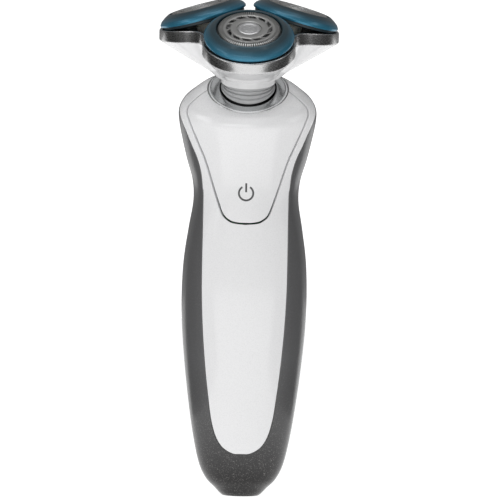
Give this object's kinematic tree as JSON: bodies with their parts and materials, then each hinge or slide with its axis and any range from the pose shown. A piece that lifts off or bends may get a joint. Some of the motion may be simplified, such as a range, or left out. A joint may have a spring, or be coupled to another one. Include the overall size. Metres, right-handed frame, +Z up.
{
  "type": "rotary electric shaver",
  "caption": "Cordless rotary shaver: contoured handle with a press panel, flexing neck and pull-off head whose tilting ring units carry slotted guards over driven cutters.",
  "frame": {"origin": "middle of the flat foot around the charging socket, on the handle's axis", "axes": "+X to the user's right, -Y out of the power panel's front, +Z up the handle to the head"},
  "size_m": [0.061, 0.0572, 0.1693],
  "materials": {
    "housing_dark": "fine metallic-flake satin plastic",
    "panel_white": "pearl white gloss lacquer",
    "collar_satin": "satin chrome with a bright lip",
    "bellows_grey": "soft grey elastomer",
    "frame_black": "moulded glass-filled plastic",
    "bronze": "turned, lightly polished",
    "seal_rubber": "soft black rubber",
    "bright_steel": "ground steel",
    "cell_can": "sleeved cell",
    "board_green": "laminate",
    "light_guide": "translucent acrylic",
    "head_white": "white gloss moulding",
    "rim_silver": "brushed metallised plastic",
    "gear_nylon": "natural nylon",
    "holder_dark": "dark teal moulding",
    "petal_blue": "metallic teal lacquer with a slick coating",
    "guard_steel": "stamped stainless steel",
    "cap_steel": "pressed and printed cap"
  },
  "bodies": {
    "handle": {"rear_housing": "housing_dark", "front_panel": "panel_white", "foot_plate": "housing_dark", "collar_ring": "collar_satin", "neck_bellows": "bellows_grey", "neck_seat": "frame_black", "spindle_bearing": "bronze", "shaft_seal": "seal_rubber", "motor_can": "bright_steel", "motor_seat": "seal_rubber", "inner_frame": "frame_black", "frame_screws": "bright_steel", "battery": "cell_can", "battery_contacts": "bronze", "circuit_board": "board_green", "push_switch": "frame_black", "light_guide": "light_guide", "charging_socket": "frame_black", "charging_pins": "bronze", "housing_seal": "seal_rubber"},
    "power_button": {"power_panel": "panel_white", "panel_plunger": "panel_white"},
    "rotor": {"motor_rotor": "bright_steel"},
    "spindle": {"drive_spindle": "bright_steel"},
    "gimbal": {"gimbal_ring": "bright_steel"},
    "coupling": {"coupling_core": "frame_black"},
    "head": {"head_collar": "head_white", "head_bowl": "head_white", "rim_band": "rim_silver", "gear_plate": "frame_black"},
    "sun": {"sun_gear": "gear_nylon"},
    "holder": {"head_holder": "holder_dark", "petal_spring_1": "bright_steel", "petal_spring_2": "bright_steel", "petal_spring_3": "bright_steel"},
    "planet_1": {"planet_gear_1": "gear_nylon", "drive_pin_1": "bright_steel"},
    "unit_1": {"petal_frame_1": "holder_dark", "comfort_ring_1": "petal_blue", "shaving_guard_1": "guard_steel", "guard_cap_1": "cap_steel"},
    "blades_1": {"cutter_1": "guard_steel", "cutter_hub_1": "gear_nylon"},
    "planet_2": {"planet_gear_2": "gear_nylon", "drive_pin_2": "bright_steel"},
    "unit_2": {"petal_frame_2": "holder_dark", "comfort_ring_2": "petal_blue", "shaving_guard_2": "guard_steel", "guard_cap_2": "cap_steel"},
    "blades_2": {"cutter_2": "guard_steel", "cutter_hub_2": "gear_nylon"},
    "planet_3": {"planet_gear_3": "gear_nylon", "drive_pin_3": "bright_steel"},
    "unit_3": {"petal_frame_3": "holder_dark", "comfort_ring_3": "petal_blue", "shaving_guard_3": "guard_steel", "guard_cap_3": "cap_steel"},
    "blades_3": {"cutter_3": "guard_steel", "cutter_hub_3": "gear_nylon"}
  },
  "joints": [
    {"name": "power_press", "type": "hinge", "parent": "handle", "child": "power_button", "pos_m": [0, -0.0165, 0.135], "axis": [1, 0, 0], "range_deg": [0, 0.4], "stiffness_Nm_per_rad": 2},
    {"name": "motor_spin", "type": "hinge", "parent": "handle", "child": "rotor", "pos_m": [0, 0, 0.118], "axis": [0, 0, 1], "continuous": true},
    {"name": "spindle_spin", "type": "hinge", "parent": "handle", "child": "spindle", "pos_m": [0, -0.003, 0.1402], "axis": [0, -0.3256, 0.9455], "continuous": true},
    {"name": "head_pitch", "type": "hinge", "parent": "handle", "child": "gimbal", "pos_m": [0, -0.00398, 0.14304], "axis": [1, 0, 0], "range_deg": [-5, 5], "stiffness_Nm_per_rad": 0.3},
    {"name": "head_roll", "type": "hinge", "parent": "gimbal", "child": "coupling", "pos_m": [0, -0.00398, 0.14304], "axis": [0, 0.9455, 0.3256], "range_deg": [-5, 5], "stiffness_Nm_per_rad": 0.3},
    {"name": "head_pull", "type": "slide", "parent": "coupling", "child": "head", "axis": [0, -0.3256, 0.9455], "range_m": [0, 0.03]},
    {"name": "sun_spin", "type": "hinge", "parent": "head", "child": "sun", "pos_m": [0, -0.00626, 0.14966], "axis": [0, -0.3256, 0.9455], "continuous": true},
    {"name": "holder_lift", "type": "slide", "parent": "head", "child": "holder", "axis": [0, -0.3256, 0.9455], "range_m": [0, 0.02]},
    {"name": "planet_spin_1", "type": "hinge", "parent": "head", "child": "planet_1", "pos_m": [0, -0.02186, 0.14428], "axis": [0, -0.3256, 0.9455], "continuous": true},
    {"name": "unit_tilt_1", "type": "hinge", "parent": "holder", "child": "unit_1", "pos_m": [0, -0.03593, 0.1443], "axis": [-1, 0, 0], "range_deg": [0, 5], "stiffness_Nm_per_rad": 0.1, "deforming": ["petal_spring_1"]},
    {"name": "cutter_spin_1", "type": "hinge", "parent": "unit_1", "child": "blades_1", "pos_m": [0, -0.02663, 0.15353], "axis": [0, -0.6018, 0.7986], "continuous": true},
    {"name": "planet_spin_2", "type": "hinge", "parent": "head", "child": "planet_2", "pos_m": [0.01429, 0.00154, 0.15234], "axis": [0, -0.3256, 0.9455], "continuous": true},
    {"name": "unit_tilt_2", "type": "hinge", "parent": "holder", "child": "unit_2", "pos_m": [0.02581, 0.00633, 0.15886], "axis": [0.5, -0.8188, -0.282], "range_deg": [0, 5], "stiffness_Nm_per_rad": 0.1, "deforming": ["petal_spring_2"]},
    {"name": "cutter_spin_2", "type": "hinge", "parent": "unit_2", "child": "blades_2", "pos_m": [0.01559, -0.0011, 0.16232], "axis": [0.2676, -0.1635, 0.9495], "continuous": true},
    {"name": "planet_spin_3", "type": "hinge", "parent": "head", "child": "planet_3", "pos_m": [-0.01429, 0.00154, 0.15234], "axis": [0, -0.3256, 0.9455], "continuous": true},
    {"name": "unit_tilt_3", "type": "hinge", "parent": "holder", "child": "unit_3", "pos_m": [-0.02581, 0.00633, 0.15886], "axis": [0.5, 0.8188, 0.282], "range_deg": [0, 5], "stiffness_Nm_per_rad": 0.1, "deforming": ["petal_spring_3"]},
    {"name": "cutter_spin_3", "type": "hinge", "parent": "unit_3", "child": "blades_3", "pos_m": [-0.01559, -0.0011, 0.16232], "axis": [-0.2676, -0.1635, 0.9495], "continuous": true}
  ],
  "couplings": [
    {"joint": "spindle_spin", "follows": "motor_spin", "ratio": 1},
    {"joint": "sun_spin", "follows": "motor_spin", "ratio": 1},
    {"joint": "planet_spin_1", "follows": "motor_spin", "ratio": -0.96429},
    {"joint": "cutter_spin_1", "follows": "motor_spin", "ratio": -0.96429},
    {"joint": "planet_spin_2", "follows": "motor_spin", "ratio": -0.96429},
    {"joint": "cutter_spin_2", "follows": "motor_spin", "ratio": -0.96429},
    {"joint": "planet_spin_3", "follows": "motor_spin", "ratio": -0.96429},
    {"joint": "cutter_spin_3", "follows": "motor_spin", "ratio": -0.96429}
  ]
}
